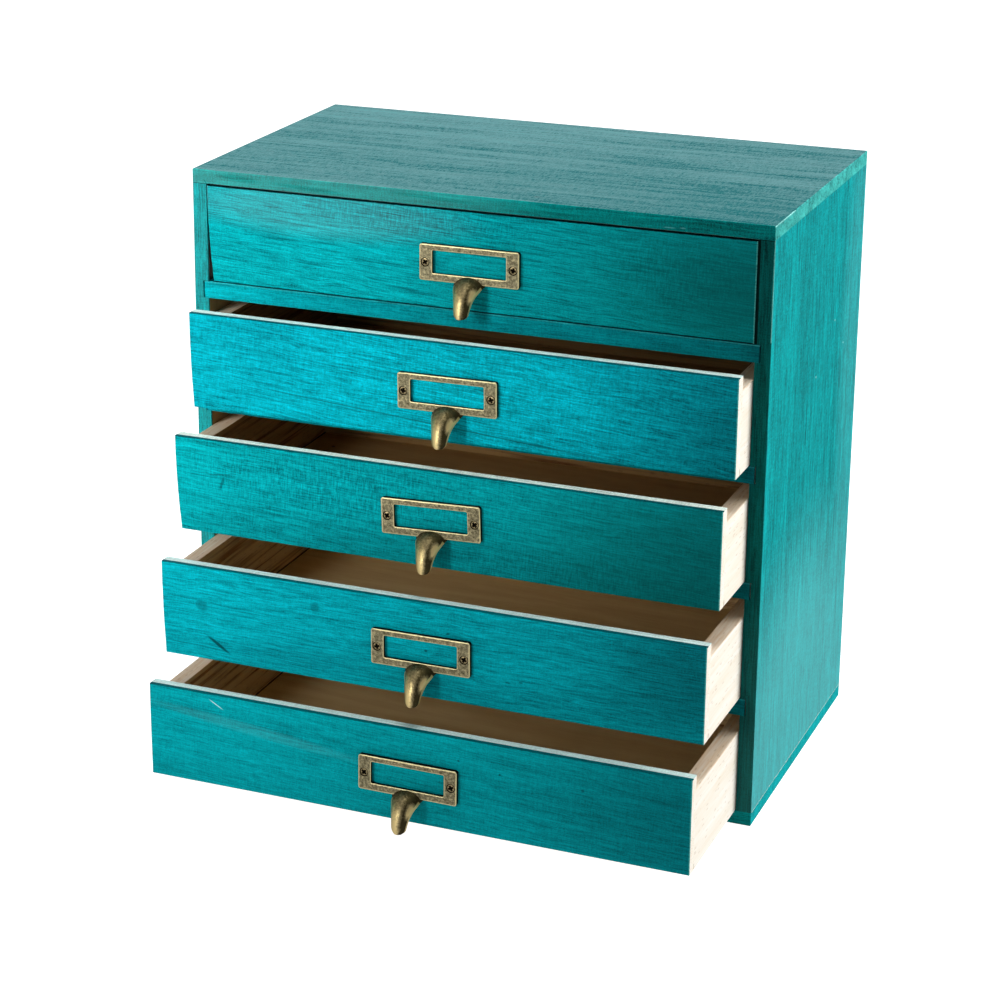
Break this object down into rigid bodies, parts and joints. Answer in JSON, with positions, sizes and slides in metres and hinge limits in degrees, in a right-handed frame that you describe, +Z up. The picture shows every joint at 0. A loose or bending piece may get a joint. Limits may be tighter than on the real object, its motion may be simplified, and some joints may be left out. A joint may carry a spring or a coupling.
{
  "type": "drawer cabinet",
  "caption": "Small free-standing wooden cabinet with a stack of shallow sliding drawers, each with a cast label frame and hooked pull; top drawer shut, the rest stepped open.",
  "frame": {"origin": "middle of the base's underside, at the level of the table", "axes": "+Z up; the drawers pull out towards -Y; +X is to the right as one faces the drawers"},
  "size_m": [0.345, 0.3015, 0.3494],
  "materials": {
    "stained_wood": "turquoise water-based stain on sanded wood, thin satin",
    "raw_wood": "bare sanded wood",
    "plywood": "bare thin plywood",
    "antique_brass": "antiqued brass plate on a casting, rubbed bright at the edges",
    "screw_brass": "brass-plated countersunk screws with dark crossed recesses",
    "steel": "plain wire brads"
  },
  "bodies": {
    "case": {"top_panel": "stained_wood", "bottom_panel": "stained_wood", "left_side_panel": "stained_wood", "right_side_panel": "stained_wood", "back_panel": "plywood", "back_panel_brads": "steel", "divider_1": "stained_wood", "divider_2": "stained_wood", "divider_3": "stained_wood", "divider_4": "stained_wood"},
    "drawer_1": {"drawer_1_front": "stained_wood", "drawer_1_left_side": "raw_wood", "drawer_1_right_side": "raw_wood", "drawer_1_back": "raw_wood", "drawer_1_bottom": "plywood", "drawer_1_bottom_brads": "steel", "drawer_1_pull": "antique_brass", "drawer_1_pull_screws": "screw_brass"},
    "drawer_2": {"drawer_2_front": "stained_wood", "drawer_2_left_side": "raw_wood", "drawer_2_right_side": "raw_wood", "drawer_2_back": "raw_wood", "drawer_2_bottom": "plywood", "drawer_2_bottom_brads": "steel", "drawer_2_pull": "antique_brass", "drawer_2_pull_screws": "screw_brass"},
    "drawer_3": {"drawer_3_front": "stained_wood", "drawer_3_left_side": "raw_wood", "drawer_3_right_side": "raw_wood", "drawer_3_back": "raw_wood", "drawer_3_bottom": "plywood", "drawer_3_bottom_brads": "steel", "drawer_3_pull": "antique_brass", "drawer_3_pull_screws": "screw_brass"},
    "drawer_4": {"drawer_4_front": "stained_wood", "drawer_4_left_side": "raw_wood", "drawer_4_right_side": "raw_wood", "drawer_4_back": "raw_wood", "drawer_4_bottom": "plywood", "drawer_4_bottom_brads": "steel", "drawer_4_pull": "antique_brass", "drawer_4_pull_screws": "screw_brass"},
    "drawer_5": {"drawer_5_front": "stained_wood", "drawer_5_left_side": "raw_wood", "drawer_5_right_side": "raw_wood", "drawer_5_back": "raw_wood", "drawer_5_bottom": "plywood", "drawer_5_bottom_brads": "steel", "drawer_5_pull": "antique_brass", "drawer_5_pull_screws": "screw_brass"}
  },
  "joints": [
    {"name": "drawer_1_slide", "type": "slide", "parent": "case", "child": "drawer_1", "axis": [0, -1, 0], "range_m": [0, 0.165]},
    {"name": "drawer_2_slide", "type": "slide", "parent": "case", "child": "drawer_2", "axis": [0, -1, 0], "range_m": [-0.026, 0.139]},
    {"name": "drawer_3_slide", "type": "slide", "parent": "case", "child": "drawer_3", "axis": [0, -1, 0], "range_m": [-0.047, 0.118]},
    {"name": "drawer_4_slide", "type": "slide", "parent": "case", "child": "drawer_4", "axis": [0, -1, 0], "range_m": [-0.0674, 0.0976]},
    {"name": "drawer_5_slide", "type": "slide", "parent": "case", "child": "drawer_5", "axis": [0, -1, 0], "range_m": [-0.0858, 0.0792]}
  ]
}
